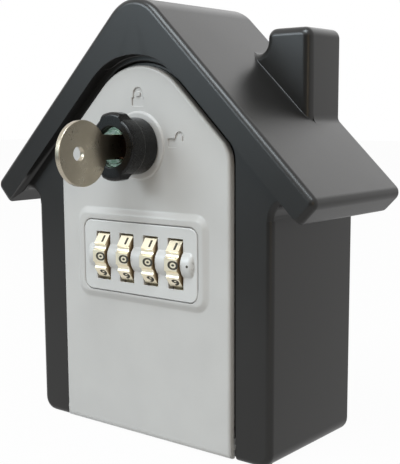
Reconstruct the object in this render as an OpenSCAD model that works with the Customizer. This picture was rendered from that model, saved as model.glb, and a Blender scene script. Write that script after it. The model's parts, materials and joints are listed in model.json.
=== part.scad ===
// House-shaped combination key safe: a cast shell, a drop-down door and a four-wheel code lock.
// X runs to the right, -Y is the front, +Z is up, and the origin is the middle of the base.
// At rest the door is shut, the bolt is drawn back and the code sleeves are out of the wheels.

/* [House shell] */
// Width across the side walls
body_w = 96; // [88:1:112]
// Depth from the front of the walls to the back
body_d = 45; // [40:1:70]
// Height of the ridge
house_h = 136.5; // [122:0.5:152]
// Width across the eaves
roof_w = 130.5; // [118:0.5:144]
// Slope of the roof in degrees
roof_slope = 44; // [42:0.5:46]
// Thickness of the roof at the eaves
roof_t = 8.4; // [7.4:0.1:9.4]
// How far the roof stands out before the front wall
roof_overhang = 4; // [2:0.5:6]
// Radius of the ridge
ridge_r = 13; // [10:0.5:16]
// Thickness of the cast walls
wall_t = 3; // [2.4:0.1:3.6]
// Radius of the two lower corners
base_r = 4.5; // [3:0.5:6]
// Radius along the front edges of the roof and the walls
edge_r = 2; // [1:0.1:2.4]

/* [Chimney] */
// Distance of the chimney's left side from the middle
chimney_x = 27; // [20:0.5:30]
// Width of the chimney
chimney_w = 15.8; // [12:0.2:18]
// Depth of the chimney, forward from the back
chimney_d = 18; // [12:0.5:26]
// How far the chimney's top stays below the ridge
chimney_drop = 8.5; // [2:0.5:12]
// Radius along the chimney's edges
chimney_r = 2.6; // [1.5:0.1:3]
// Radius of the hollows where the chimney meets the roof
chimney_cove = 3.7; // [2:0.1:4]

/* [Wall fixing] */
// Distance between the screw holes across and up
hole_span = 60; // [46:1:66]
// Height of the lower screw holes
hole_low_z = 18; // [12:1:24]
// Radius of the screw holes
hole_r = 2.6; // [2:0.1:3]

/* [Door] */
// Width of the door
door_w = 69; // [63:0.5:78]
// Thickness of the door
door_t = 2.6; // [2.4:0.1:2.8]
// How far the door stands out before the wall
door_proud = 1.5; // [1:0.1:2]
// Gap around the door
door_gap = 1.1; // [0.8:0.1:1.4]
// Distance from the roof's lower edge to the door
door_reveal = 3.1; // [2.6:0.1:4]
// Radius of the arch at the top of the door
door_apex_r = 22; // [20:0.5:24]
// Radius of the door's two shoulders
door_shoulder_r = 8; // [7:0.5:10]
// Radius along the door's front edge
door_edge_r = 1; // [0.5:0.1:1.4]

/* [Hinge] */
// Radius of the hinge pin
pin_r = 1; // [0.8:0.1:1.2]
// Depth of the pin behind the door's face
pin_depth = 3.3; // [3.2:0.1:3.5]
// Height of the pin
pin_z = 3.8; // [3.6:0.1:4.2]

/* [Code wheels] */
// Distance from wheel to wheel
wheel_pitch = 10; // [9.8:0.1:10.2]
// Distance from a wheel's middle to its flat faces
wheel_flat = 9.35; // [9:0.05:9.5]
// Width of a wheel
wheel_w = 4.9; // [4.5:0.1:5.6]
// Distance from the knob's middle down to the wheels' axle
dial_drop = 35; // [34:0.1:38]
// Depth of the axle behind the dial plate's face
axle_depth = 7; // [6.8:0.1:7.4]
// Radius of the axle
axle_r = 2; // [1.6:0.1:2.2]
// Number of digits on a wheel
digits = 10; // [8:1:12]
// Travel of the slider that sets the code
set_travel = 1.5; // [1.2:0.1:1.6]

/* [Dial plate] */
// Width of the dial plate
plate_w = 46.8; // [46:0.1:47.4]
// Height of the dial plate
plate_h = 22.5; // [22:0.1:23]
// Width of the raised boss around the plate
boss_w = 55; // [53:0.5:58]
// Height of the raised boss around the plate
boss_h = 30; // [28:0.5:32]
// How far the boss is raised
boss_t = 1; // [0.8:0.1:1.2]
// Width of the slope around the boss
boss_slope = 2.6; // [1.6:0.1:3]

/* [Bolt] */
// Travel of the bolt
bolt_lift = 4; // [3.4:0.1:4]
// Thickness of the bolt plate
bolt_t = 1.8; // [1.4:0.1:2]
// Width of the bolt's nose
nose_w = 12; // [8:0.5:15]

/* [Knob and lock] */
// Distance from the top of the door down to the knob's middle
knob_drop = 24.2; // [23:0.1:25]
// Radius of the knob's head
knob_r = 9; // [8.6:0.1:9.4]
// Length of the knob
knob_len = 11.6; // [10.5:0.1:13]
// Radius of the lock barrel
barrel_r = 6; // [5.8:0.1:6.1]
// Radius of the lock plug
plug_r = 4.2; // [4.2:0.1:4.6]

/* [Key] */
// Radius of the key's bow
bow_r = 9.5; // [8:0.1:11]
// Distance of the bow's middle before the lock
bow_reach = 12.9; // [12:0.1:15]
// How far the bow hangs below the blade's middle
bow_drop = 1.5; // [0:0.1:2]
// Thickness of the key
key_t = 1.7; // [1.4:0.1:1.7]
// Height of the key's blade
blade_h = 6.4; // [5.6:0.1:6.6]
// Radius of the hole for a key ring
ring_hole_r = 2.05; // [1.5:0.05:2.5]

/* [Fits] */
// Radial gap of a shaft that turns in a bore
run_gap = 0.05; // [0.03:0.01:0.09]
// Gap between pieces that pass each other
pass_gap = 0.3; // [0.25:0.05:0.4]

/* [Hidden] */
$fn = 64;
rim_steps = 4;
over = 1;

SHELL_COL = "#222529";
DOOR_COL = "#bcbec0";
BLACK_COL = "#19191a";
WHEEL_COL = "#e6d9bd";
STEEL_COL = "#a9abad";
ZINC_COL = "#8d9297";
BRASS_COL = "#b79a58";

// Roof lines, as heights at a distance x from the middle
apex_z = house_h + ridge_r * (1 / cos(roof_slope) - 1);
function slope_z(x) = apex_z - x * tan(roof_slope);
function drop(inset) = inset / cos(roof_slope);
eave_x = roof_w / 2;
eave_z = slope_z(eave_x);
eave_r = edge_r + 0.6;
back_r = edge_r / 2;
cove_r = 4.5;
blend_sink = 0.15;
soffit_z = slope_z(body_w / 2) - drop(roof_t);
chimney_top = house_h - chimney_drop;
roof_skin = 4.5;
floor_t = 2.5;

// Planes from front to back
front_y = -body_d / 2;
back_y = body_d / 2;
door_y = front_y - door_proud;
door_back = door_y + door_t;
ledge_y = door_back + 0.2;
inner_y = front_y + wall_t;
plate_y = door_y - boss_t;
axle_y = plate_y + axle_depth;
bolt_y0 = axle_y - bolt_t / 2;
bolt_y1 = axle_y + bolt_t / 2;
chassis_t = 1.6;
chassis_y = door_back + chassis_t;
cover_depth = 12.5;
cover_y = axle_y + cover_depth;
cover_t = 1.5;

// Door outline: parallel to the roof
door_apex_z = apex_z - drop(roof_t + door_reveal);
door_top = door_apex_z - door_apex_r * (1 / cos(roof_slope) - 1);
door_bottom = 0.5;
foot_r = 2;
ledge_inset = 1.8;
cover_inset = 4.2;
cover_clear = 0.6;

// The lock hangs from the top of the door
knob_z = door_top - knob_drop;
dial_z = knob_z - dial_drop;
cover_low = 19.8;
cover_low_z = dial_z - cover_low;

// Hinge
pin_y = door_y + pin_depth;
knuckle_r = 2.9;
knuckle_sweep = 4.3;
pin_half = door_w / 2 + 6.5;
lug_h = 8;

// Code wheels, sleeves and axle
wheel_x = [for (i = [0:3]) (i - 1.5) * wheel_pitch];
wheel_tip = wheel_flat / cos(180 / digits);
valley_r = 1.3;
valley_c = wheel_tip + 0.3;
slot_gap = pass_gap + 0.2;
slot_r = wheel_tip + slot_gap;
slot_w = wheel_w + 2 * slot_gap;
step = 360 / digits;
socket_r = 3.4;
socket_tip = 4.5;
socket_d = 1.7;
spline_l = 1.4;
sleeve_r = 5.5;
sleeve_gap = 0.7;
sleeve_l = wheel_pitch - wheel_w - pass_gap - spline_l - sleeve_gap;
sleeve_x0 = wheel_w / 2 + pass_gap;
gate_w = 2.3;
gate_floor = 3.3;
finger_x = wheel_pitch / 2;
finger_w = 1.8;
finger_r = gate_floor + 0.4;
cheek_t = 2;
cheek_left = wheel_x[0] - wheel_w / 2 - 1.5;
cheek_right = wheel_x[3] + sleeve_x0 + spline_l + sleeve_l + sleeve_gap;
slider_x = cheek_right + cheek_t + pass_gap + set_travel;
slider_w = 2.3;
slider_h = 6;
axle_x0 = cheek_left - cheek_t - 0.8;

// The slider sets the width of the cover, and the cover that of the chassis and of the opening in the shell
cover_half = slider_x + slider_w + pass_gap + cover_t;
chassis_half = cover_half - cover_t - 0.4;
chassis_low = 6.6;
chassis_arm = 12;
chassis_head = 8.4;

// Dial plate
rib_h = 7.5;
rib_out = 1.6;
rib_r = (rib_h * rib_h / 4 + rib_out * rib_out) / (2 * rib_out);
rib_end = 1.4;
rib_left = plate_w / 2 - 2.2;
rib_right = plate_w / 2 - 1.2;
flange_w = plate_w + 2.7;
flange_h = plate_h + 2.7;
flange_t = 1.2;
boss_z = dial_z + 0.6;

// Knob, lock and cam
collar_t = 0.6;
collar_r = knob_r + 1.4;
knob_back = door_y - collar_t - pass_gap;
knob_front = knob_back - knob_len;
head_l = 6;
neck_r = knob_r - 0.4;
lug_l = 5;
lug_top = knob_r + 1.2;
barrel_front = knob_front + 1.8;
notch_d = 4;
bush_r = barrel_r + 1.6;
plug_face = barrel_front - 0.6;
nut_t = 2.2;
barrel_back = bolt_y1 + nut_t + 0.3;
cam_min = barrel_r + 1;
cam_max = cam_min + bolt_lift;
cam_rate = bolt_lift / (PI / 2);
cam_gap = 0.05;

// Bolt plate at rest
nose_top = door_top - ledge_inset - 2.4;
nose_bevel = 3;
bolt_half = 15.5;
window_right = cam_max + 1.4;
window_left = cam_min + 1.5;
window_low = knob_z - cam_max - cam_gap;
window_high = knob_z + cam_min + 0.6;
fence_z = dial_z + wheel_tip + 1.3;
fence_h = 3.8;
ledge_top = fence_z + fence_h + bolt_lift + 2.3;
seat_t = 1.8;
ear_z = ledge_top + 9;
ear_h = 2.3;
ear_x = 22.2;
spring_x = 20;
spring_r = 1.75;
wire_r = 0.4;
spring_y = chassis_y + spring_r + wire_r + pass_gap;
seat_y = spring_y + spring_r + wire_r + 0.2;
rail_gap = 0.4;
rail_t = 1.4;
spring_turns = 5;

// Screws
shank_r = 1.1;
head_r = 1.8;
head_t = 1.2;
driver_slot = 0.6;
bite = 1.7;
post_r = 2.4;
screw_edge = head_r + 0.1;
chassis_low_at = 10.6;
chassis_high_at = 14.6;
post_low = cover_t + post_r - 0.1;
post_high = 7;
chassis_at = [for (sx = [-1, 1]) for (z = [dial_z - chassis_low_at, dial_z + chassis_high_at])
    [sx * (chassis_half - screw_edge), z]];
cover_at = [for (sx = [-1, 1]) for (p = [[chassis_half - post_r - 0.4, cover_low_z + post_low],
    [ear_x + post_r + 0.4, ledge_top + post_high]]) [sx * p[0], p[1]]];

// Key
key_back = barrel_back - 2.2;
bow_y = plug_face - bow_reach;
hole_y = bow_y - 1.9;
bow_z = knob_z - bow_drop;
cuts = [0.9, 1.5, 0.6, 1.3, 1.0];

// Points of a polygon whose corners [x, y, radius] are rounded; a fourth value says how finely, so that rings agree
function unit(v) = v / norm(v);
function corner(a, v, b, r, fine) =
    let (
        u = unit(a - v),
        w = unit(b - v),
        half = acos(max(-1, min(1, u * w))) / 2,
        c = v + unit(u + w) * r / sin(half),
        s = v + u * r / tan(half) - c,
        e = v + w * r / tan(half) - c,
        a0 = atan2(s[1], s[0]),
        turn = atan2(e[1], e[0]) - a0,
        d = turn > 180 ? turn - 360 : turn < -180 ? turn + 360 : turn,
        n = 2 * ceil(abs(d) / (fine > 5 ? 12 : 30) - 0.01)
    )
    [for (i = [0:n]) c + r * [cos(a0 + d * i / n), sin(a0 + d * i / n)]];
function rounded(pts) =
    let (n = len(pts), xy = [for (p = pts) [p[0], p[1]]])
    [for (i = [0:n - 1])
        let (r = pts[i][2], fine = len(pts[i]) > 3 ? pts[i][3] : r)
        each r > 0
            ? corner(xy[(i + n - 1) % n], xy[i], xy[(i + 1) % n], r, fine)
            : [xy[i]]];

// The same corners moved in by d, clockwise seen from the front
function inset_corners(pts, d) =
    let (n = len(pts), xy = [for (p = pts) [p[0], p[1]]])
    [for (i = [0:n - 1])
        let (
            u = unit(xy[i] - xy[(i + n - 1) % n]),
            w = unit(xy[(i + 1) % n] - xy[i]),
            side = [u[1] + w[1], -u[0] - w[0]],
            v = xy[i] + d * side / (1 + u * w)
        )
        [v[0], v[1], pts[i][2] > 0 ? max(pts[i][2] - d, 0.2) : 0, pts[i][2]]];

// A symmetric outline from its top corner and its right-hand corners
function mirrored(top, right) =
    let (n = len(right))
    concat([top], right, [for (i = [n - 1:-1:0]) [-right[i][0], right[i][1], right[i][2]]]);

// Outlines seen from the front
function eave_corners() = [
    [eave_x, eave_z, eave_r],
    [eave_x - roof_t * sin(roof_slope), eave_z - roof_t * cos(roof_slope), eave_r]
];
function roof_corners() = mirrored([0, apex_z, ridge_r], eave_corners());
function wall_corners() =
    let (w = body_w / 2, low = drop(roof_skin))
    mirrored([0, apex_z - low, 0], [[w, slope_z(w) - low, 0], [w, 0, base_r]]);
function roof_inside() = rounded([
    [0, apex_z - drop(roof_t), door_apex_r + door_reveal],
    [roof_w, slope_z(roof_w) - drop(roof_t), 0],
    [-roof_w, slope_z(roof_w) - drop(roof_t), 0]
]);
function cavity_outline() =
    let (w = body_w / 2 - wall_t)
    rounded(mirrored(
        [0, apex_z - drop(roof_skin), ridge_r - roof_skin],
        [[w, slope_z(w) - drop(roof_skin), 2], [w, floor_t, 2]]
    ));
function arch_corners(w, inset, bottom) =
    let (z = door_apex_z - drop(inset))
    mirrored([0, z, door_apex_r - inset],
        [[w, z - w * tan(roof_slope), door_shoulder_r - inset], [w, bottom, 0]]);
function door_corners(inset, bottom) = arch_corners(door_w / 2 - inset, inset, bottom);
function cover_corners(inset, bottom) = arch_corners(cover_half - inset, cover_inset + inset, bottom);
function box_corners(x, z, r) = [[x[0], z[1], r], [x[1], z[1], r], [x[1], z[0], r], [x[0], z[0], r]];
function middle_box(w, h, z, r) = box_corners([-w / 2, w / 2], [z - h / 2, z + h / 2], r);
// Hollow fillet where a wall at x meets a roof at height z, which leaves it to one side at a rise of a degrees
function cove(x, z, a, r, side) =
    let (reach = r / tan(45 - a / 2) + 0.5, tip = [x + reach * side * cos(a), z + reach * sin(a)])
    rounded([[x, z, r], [x, z + reach, 0], [x - side, z + reach, 0], [x - side, z - 1, 0],
        [tip[0], tip[1] - 1, 0], [tip[0], tip[1], 0]]);

// Places along y, with their insets, of the rings that round an edge
function rim(y, r, way) =
    r > 0
        ? [for (k = [0:rim_steps]) let (a = 90 * k / rim_steps) [y + way * r * (1 - sin(a)), r * (1 - cos(a))]]
        : [[y, 0]];

function rims(y0, y1, r0, r1) =
    let (front = rim(y0, r0, 1))
    concat([for (i = [len(front) - 1:-1:0]) front[i]], rim(y1, r1, -1));

// Convex prism along y whose front and back edges are rounded by r0 and r1
module soft_prism(corners, y0, y1, r0, r1) stepped_prism(corners, rims(y0, y1, r0, r1));
// Convex prism along y through levels, each a place and an inset
module stepped_prism(corners, levels) {
    loft([for (l = levels) [for (p = rounded(inset_corners(corners, l[1]))) [p[0], l[0], p[1]]]]);
}
// Solid through rings of points from front to back, clockwise seen from the front
module loft(rings) {
    m = len(rings);
    n = len(rings[0]);
    sides = [for (i = [0:m - 2]) for (k = [0:n - 1])
        let (a = i * n + k, b = i * n + (k + 1) % n)
        [a, a + n, b + n, b]];
    caps = [[for (k = [0:n - 1]) k], [for (k = [n - 1:-1:0]) (m - 1) * n + k]];
    polyhedron(points = [for (r = rings) each r], faces = concat(sides, caps));
}

// Drawing helpers
module along_y(y0, y1) {
    translate([0, y1, 0]) rotate([90, 0, 0]) linear_extrude(y1 - y0) children();
}
module along_x(x0, x1) {
    translate([x0, 0, 0]) rotate([90, 0, 90]) linear_extrude(x1 - x0) children();
}
module rod_y(y0, y1, r, x = 0, z = 0, fn = $fn) {
    translate([x, y1, z]) rotate([90, 0, 0]) cylinder(h = y1 - y0, r = r, $fn = fn);
}
module rod_x(x0, x1, r, y, z) {
    translate([x0, y, z]) rotate([0, 90, 0]) cylinder(h = x1 - x0, r = r);
}
// Turned shape on the knob's axis, from points [radius, distance before the origin]
module turned(pts) {
    translate([0, 0, knob_z]) rotate([90, 0, 0]) rotate_extrude() polygon(pts);
}
// Quarter of a circle from angle a, as points
function quarter(x, y, r, a) = [for (k = [0:4]) [x + r * cos(a + 22.5 * k), y + r * sin(a + 22.5 * k)]];
module block(x, y, z) {
    translate([x[0], y[0], z[0]]) cube([x[1] - x[0], y[1] - y[0], z[1] - z[0]]);
}
module around_axle(x0, x1) {
    translate([x0, axle_y, dial_z]) rotate([90, 0, 90]) linear_extrude(x1 - x0) children();
}

// Cast shell with its roof, chimney, hinge lugs and wall holes
module house_shell() color(SHELL_COL) {
    difference() {
        union() {
            difference() {
                union() {
                    soft_prism(wall_corners(), front_y, back_y, edge_r, back_r);
                    roof();
                    chimney();
                }
                along_y(inner_y, back_y - wall_t) polygon(cavity_outline());
                doorway();
            }
            for (sx = [-1, 1]) hinge_lug(sx);
        }
        rod_x(-pin_half, pin_half, pin_r, pin_y, pin_z);
        for (sx = [-1, 1]) for (z = [hole_low_z, hole_low_z + hole_span])
            rod_y(back_y - wall_t - over, back_y + over, hole_r, sx * hole_span / 2, z);
    }
}
module roof() {
    difference() {
        soft_prism(roof_corners(), front_y - roof_overhang, back_y, edge_r, back_r);
        along_y(front_y - roof_overhang - over, front_y) polygon(roof_inside());
        under_eaves();
    }
}
// Space below the eaves, left and right of the walls
module under_eaves() {
    low = slope_z(roof_w) - drop(roof_t);
    right = [[body_w / 2, soffit_z, cove_r], [roof_w, low, 0], [body_w / 2, low, 0]];
    left = [for (i = [2:-1:0]) [-right[i][0], right[i][1], right[i][2]]];
    flare = concat([[front_y - over / 2, edge_r]], rims(front_y, front_y + edge_r + over, edge_r, 0));
    for (space = [left, right]) {
        along_y(front_y - over, back_y + over) polygon(rounded(space));
        intersection() {
            stepped_prism(space, [for (l = flare) [l[0], blend_sink - l[1]]]);
            translate([0, 0, -blend_sink]) along_y(front_y - over, front_y + edge_r + 2 * over)
                polygon(roof_inside());
        }
    }
}
module chimney() {
    x0 = chimney_x;
    x1 = chimney_x + chimney_w;
    y0 = back_y - chimney_d;
    soft_prism(box_corners([x0, x1], [slope_z(x1) - roof_skin, chimney_top], chimney_r + 0.4),
        y0, back_y, chimney_r, back_r);
    along_y(y0 + chimney_r, back_y - back_r) polygon(cove(x0, slope_z(x0), roof_slope, chimney_cove, -1));
    along_y(y0 + chimney_r, back_y - back_r) polygon(cove(x1, slope_z(x1), -roof_slope, chimney_cove, 1));
}
module doorway() {
    w = door_w / 2 + door_gap;
    along_y(front_y - over, ledge_y) polygon(rounded(door_corners(-door_gap, -over)));
    along_y(ledge_y - over, inner_y + over)
        polygon(rounded(arch_corners(cover_half + cover_clear, ledge_inset, -over)));
    block([-w, w], [front_y - over, pin_y + knuckle_sweep], [-over, lug_h + 2]);
}
module hinge_lug(sx) {
    x0 = door_w / 2 + door_gap;
    x1 = body_w / 2 - wall_t + 0.5;
    mirror([sx < 0 ? 1 : 0, 0, 0]) block([x0, x1], [inner_y - 0.5, pin_y + 3], [0, lug_h]);
}
module hinge_pin() color(STEEL_COL) {
    rod_x(-pin_half, pin_half, pin_r, pin_y, pin_z);
}

// Door with the boss around the dial, the collar under the knob and the hinge knuckle
module door_panel() color(DOOR_COL) {
    difference() {
        union() {
            difference() {
                soft_prism(door_corners(0, door_bottom), door_y, door_back, door_edge_r, 0);
                door_foot();
            }
            rod_x(-door_w / 2, door_w / 2, knuckle_r, pin_y, pin_z);
            boss();
            turned(concat([[0, -door_y - 0.5]], [[collar_r, -door_y - 0.5]],
                quarter(collar_r - collar_t, -door_y, collar_t, 0), [[0, -door_y + collar_t]]));
        }
        along_y(plate_y - over, door_back + over)
            polygon(rounded(middle_box(plate_w + 0.4, plate_h + 0.4, dial_z, 3.2)));
        along_y(door_back - flange_t, door_back + over)
            polygon(rounded(middle_box(flange_w + 0.2, flange_h + 0.2, dial_z, 2)));
        rod_y(door_y - over, door_back + over, bush_r, 0, knob_z);
        rod_x(-pin_half, pin_half, pin_r + run_gap, pin_y, pin_z);
        for (p = concat(chassis_at, cover_at))
            rod_y(door_back - bite - 0.1, door_back + over, shank_r, p[0], p[1]);
    }
}
// Raised field around the dial, with a soft slope on all sides
module boss() {
    stepped_prism(middle_box(boss_w, boss_h, boss_z, 5), concat(
        [for (k = [0:6]) let (t = k / 6) [plate_y + boss_t * t * t * (3 - 2 * t), boss_slope * (1 - t)]],
        [[door_y + 0.5, 0]]));
}
// Cuts the round foot on which the door swings clear of what the safe stands on
module door_foot() {
    difference() {
        block([-door_w, door_w], [door_y - over, door_y + foot_r], [door_bottom - over, door_bottom + foot_r]);
        rod_x(-door_w, door_w, foot_r, door_y + foot_r, door_bottom + foot_r);
    }
}

// Dial plate: four wheel slots and a half-round rib over the axle
module dial_plate() color(DOOR_COL) {
    difference() {
        union() {
            soft_prism(middle_box(plate_w, plate_h, dial_z, 3), plate_y, door_back, 0.4, 0);
            along_y(door_back - flange_t, door_back)
                polygon(rounded(middle_box(flange_w, flange_h, dial_z, 2)));
            intersection() {
                translate([-rib_left, plate_y + rib_r - rib_out, dial_z]) rotate([0, 90, 0]) rotate_extrude()
                    polygon(rib_profile());
                block([-plate_w, plate_w], [plate_y - rib_out - over, plate_y + 0.5], [0, house_h]);
            }
        }
        for (x = wheel_x) rod_x(x - slot_w / 2, x + slot_w / 2, slot_r, axle_y, dial_z);
        rod_x(cheek_left - cheek_t - pass_gap, cheek_right + pass_gap, sleeve_r + pass_gap, axle_y, dial_z);
    }
}

// Half of the rib's long section, with round ends
function rib_profile() =
    let (l = rib_left + rib_right, r = rib_r - rib_end)
    concat([[0, 0]], quarter(r, rib_end, rib_end, -90), quarter(r, l - rib_end, rib_end, 0), [[0, l]]);

// Bush that the lock barrel turns in
module barrel_bush() color(BRASS_COL) {
    difference() {
        rod_y(door_y - collar_t + 0.1, chassis_y, bush_r, 0, knob_z);
        rod_y(door_y - over, chassis_y + over, barrel_r + run_gap, 0, knob_z);
    }
}

// Chassis behind the door: plate, axle cheeks, spring seats and guide rails
module lock_chassis() color(ZINC_COL) {
    difference() {
        union() {
            along_y(door_back, chassis_y) polygon(chassis_outline());
            cheek(cheek_left - cheek_t);
            cheek(cheek_right);
            for (sx = [0, 1]) mirror([sx, 0, 0]) {
                block([bolt_half + rail_gap, ear_x + 0.1], [door_back, seat_y],
                    [ledge_top - seat_t, ledge_top]);
                block([bolt_half + rail_gap, bolt_half + rail_gap + rail_t], [door_back, seat_y],
                    [ledge_top - seat_t, ear_z - 2 * pass_gap]);
            }
        }
        block([wheel_x[0] - slot_w / 2 - pass_gap, cheek_right], [door_back - over, chassis_y + over],
            [dial_z - slot_r - pass_gap, dial_z + slot_r + pass_gap]);
        block([axle_x0 - set_travel - 0.6, body_w / 2], [door_back - over, chassis_y + over],
            [dial_z - slider_h / 2 - 0.5, dial_z + slider_h / 2 + 0.5]);
        rod_x(axle_x0 - 5, slider_x, axle_r + run_gap, axle_y, dial_z);
        rod_y(door_back - over, chassis_y + over, bush_r, 0, knob_z);
        for (p = chassis_at) rod_y(door_back - over, chassis_y + over, shank_r, p[0], p[1]);
    }
}
function chassis_outline() =
    let (w = chassis_half, arm = ear_x + 0.2)
    mirror_list([[w, cover_low_z + chassis_low], [w, ledge_top - w + arm], [arm, ledge_top + 2],
        [arm, ear_z + ear_h + 1], [chassis_arm, knob_z + chassis_head]]);
module cheek(x) {
    half = sleeve_r + 0.7;
    block([x, x + cheek_t], [door_back, axle_y + half - 1.2], [dial_z - half, dial_z + half]);
}
module screw(p, y1) {
    rod_y(door_back - bite, y1, shank_r, p[0], p[1]);
    difference() {
        rod_y(y1, y1 + head_t, head_r, p[0], p[1]);
        block([p[0] - driver_slot / 2, p[0] + driver_slot / 2],
            [y1 + head_t - driver_slot, y1 + head_t + over], [p[1] - head_r, p[1] + head_r]);
    }
}
module chassis_screws() color(STEEL_COL) {
    for (p = chassis_at) screw(p, chassis_y);
}

// Leaf spring that clicks each wheel from digit to digit
module detent_spring() color(STEEL_COL) {
    leaf = wire_r;
    half = wheel_w / 3;
    top = dial_z - wheel_tip - 0.7;
    block([wheel_x[0] - wheel_w / 2, wheel_x[3] + wheel_w / 2], [chassis_y, chassis_y + leaf],
        [cover_low_z + chassis_low + 0.2, top]);
    for (x = wheel_x) {
        block([x - half, x + half], [chassis_y, axle_y + wheel_tip / 2], [top - leaf, top]);
        rod_x(x - half, x + half, leaf + 0.1, axle_y, top - 0.1);
    }
}

// Rear cover of the lock
module lock_cover() color(BLACK_COL) {
    difference() {
        union() {
            difference() {
                soft_prism(cover_corners(0, cover_low_z), door_back, cover_y, 0, cover_t);
                along_y(door_back - over, cover_y - cover_t)
                    polygon(rounded(cover_corners(cover_t, cover_low_z + cover_t)));
            }
            for (p = cover_at) rod_y(door_back, cover_y - 0.5, post_r, p[0], p[1]);
        }
        for (p = cover_at) rod_y(door_back - over, cover_y + over, shank_r + 0.15, p[0], p[1]);
        block([-nose_w / 2 - 0.5, nose_w / 2 + 0.5], [bolt_y0 - 0.5, bolt_y1 + 0.5],
            [ear_z + ear_h, house_h]);
        block([slider_x - set_travel - 0.5, slider_x + slider_w + pass_gap],
            [cover_y - cover_t - over, cover_y + over],
            [dial_z - slider_h / 2 - 0.4, dial_z + slider_h / 2 + 0.4]);
    }
}
module cover_screws() color(STEEL_COL) {
    for (p = cover_at) screw(p, cover_y);
}

// Number wheel: flat digit faces with hollows between them, and a socket for its code sleeve
module number_wheel(i) color(WHEEL_COL) {
    x = wheel_x[i];
    difference() {
        around_axle(x - wheel_w / 2, x + wheel_w / 2) difference() {
            rotate(180 + step / 2) circle(r = wheel_tip, $fn = digits);
            for (k = [0:digits - 1]) rotate(180 + (k + 0.5) * step)
                translate([valley_c, 0]) circle(r = valley_r, $fn = 32);
            circle(r = axle_r + run_gap);
        }
        around_axle(x + wheel_w / 2 - socket_d, x + wheel_w / 2 + over) {
            circle(r = socket_r);
            for (k = [0:digits - 1]) rotate(k * step) translate([0, -0.75]) square([socket_tip, 1.5]);
        }
    }
}

// Axle with the four code sleeves and the slider that moves them in and out of the wheels
module code_axle() color(STEEL_COL) {
    rod_x(axle_x0, slider_x + slider_w - 0.3, axle_r, axle_y, dial_z);
}
module code_sleeve(i) color(BRASS_COL) {
    x0 = wheel_x[i] + sleeve_x0;
    x1 = x0 + spline_l + sleeve_l;
    difference() {
        union() {
            around_axle(x0, x1) {
                circle(r = socket_r - 0.25);
                for (k = [0:digits - 1]) rotate(k * step) translate([0, -0.5]) square([socket_tip - 0.3, 1]);
            }
            rod_x(x0 + spline_l, x1, sleeve_r, axle_y, dial_z);
        }
        rod_x(x0 - over, x1 + over, axle_r, axle_y, dial_z);
        block([x0 - over, x1 + over], [axle_y - gate_w / 2, axle_y + gate_w / 2],
            [dial_z + gate_floor, dial_z + sleeve_r + over]);
    }
}
module reset_slider() color(BLACK_COL) {
    difference() {
        block([slider_x, slider_x + slider_w], [axle_y - 2.6, cover_y + 1.2],
            [dial_z - slider_h / 2, dial_z + slider_h / 2]);
        rod_x(slider_x - over, slider_x + slider_w - 0.3, axle_r, axle_y, dial_z);
    }
}

// Bolt plate: nose at the top, window for the cam, ears for the springs and a finger for each sleeve
module bolt_plate() color(STEEL_COL) {
    shoulder = slope_z(bolt_half) - drop(roof_t + door_reveal + cover_inset + cover_t) - bolt_lift - 0.8;
    // The cover's arch is lower than its straight slopes here
    arch_r = door_apex_r - cover_inset - cover_t;
    arch_loss = drop(arch_r) - sqrt(arch_r * arch_r - nose_w * nose_w / 4) - nose_w / 2 * tan(roof_slope);
    neck = shoulder + (bolt_half - nose_w / 2) * tan(roof_slope) - arch_loss;
    along_y(bolt_y0, bolt_y1) difference() {
        union() {
            polygon(mirror_list([[bolt_half, fence_z + fence_h - 1], [bolt_half, shoulder], [nose_w / 2, neck],
                [nose_w / 2, nose_top - nose_bevel], [nose_w / 2 - nose_bevel, nose_top]]));
            translate([wheel_x[0] + finger_x - 1.5, fence_z])
                square([wheel_x[3] - wheel_x[0] + 3, fence_h]);
            translate([-ear_x, ear_z]) square([2 * ear_x, ear_h]);
            for (x = wheel_x) translate([x + finger_x - finger_w / 2, dial_z + finger_r])
                square([finger_w, fence_z - dial_z - finger_r + 0.5]);
        }
        translate([-window_left, window_low]) square([window_left + window_right, knob_z + 5 - window_low]);
        translate([-window_left, knob_z]) square([2 * window_left, window_high - knob_z]);
    }
}
function mirror_list(right) =
    concat(right, [for (i = [len(right) - 1:-1:0]) [-right[i][0], right[i][1]]]);

// Height of a spring's wire, from 0 to 1, with flat turns at both ends
ease = 0.2;
function climb(t) =
    t < ease ? t * t / (2 * ease) / (1 - ease)
    : t > 1 - ease ? 1 - climb(1 - t)
    : (t - ease / 2) / (1 - ease);

// Spring that lifts the bolt, wound as a tube along a helix
module bolt_spring(sx) color(STEEL_COL) {
    sides = 8;
    per_turn = 18;
    n = spring_turns * per_turn;
    low = ledge_top + wire_r + 0.02;
    rise = ear_z - ledge_top - 2 * wire_r - 0.04;
    ring = [for (i = [0:n]) for (k = [0:sides - 1])
        let (a = 360 * i / per_turn, b = 360 * k / sides, r = spring_r + wire_r * cos(b))
        [r * cos(a), r * sin(a), low + rise * climb(i / n) + wire_r * sin(b)]];
    skin = [for (i = [0:n - 1]) for (k = [0:sides - 1])
        let (a = i * sides + k, b = i * sides + (k + 1) % sides)
        [a, a + sides, b + sides, b]];
    ends = [[for (k = [0:sides - 1]) k], [for (k = [sides - 1:-1:0]) n * sides + k]];
    translate([sx * spring_x, spring_y, 0]) polyhedron(points = ring, faces = concat(skin, ends));
}

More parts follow.
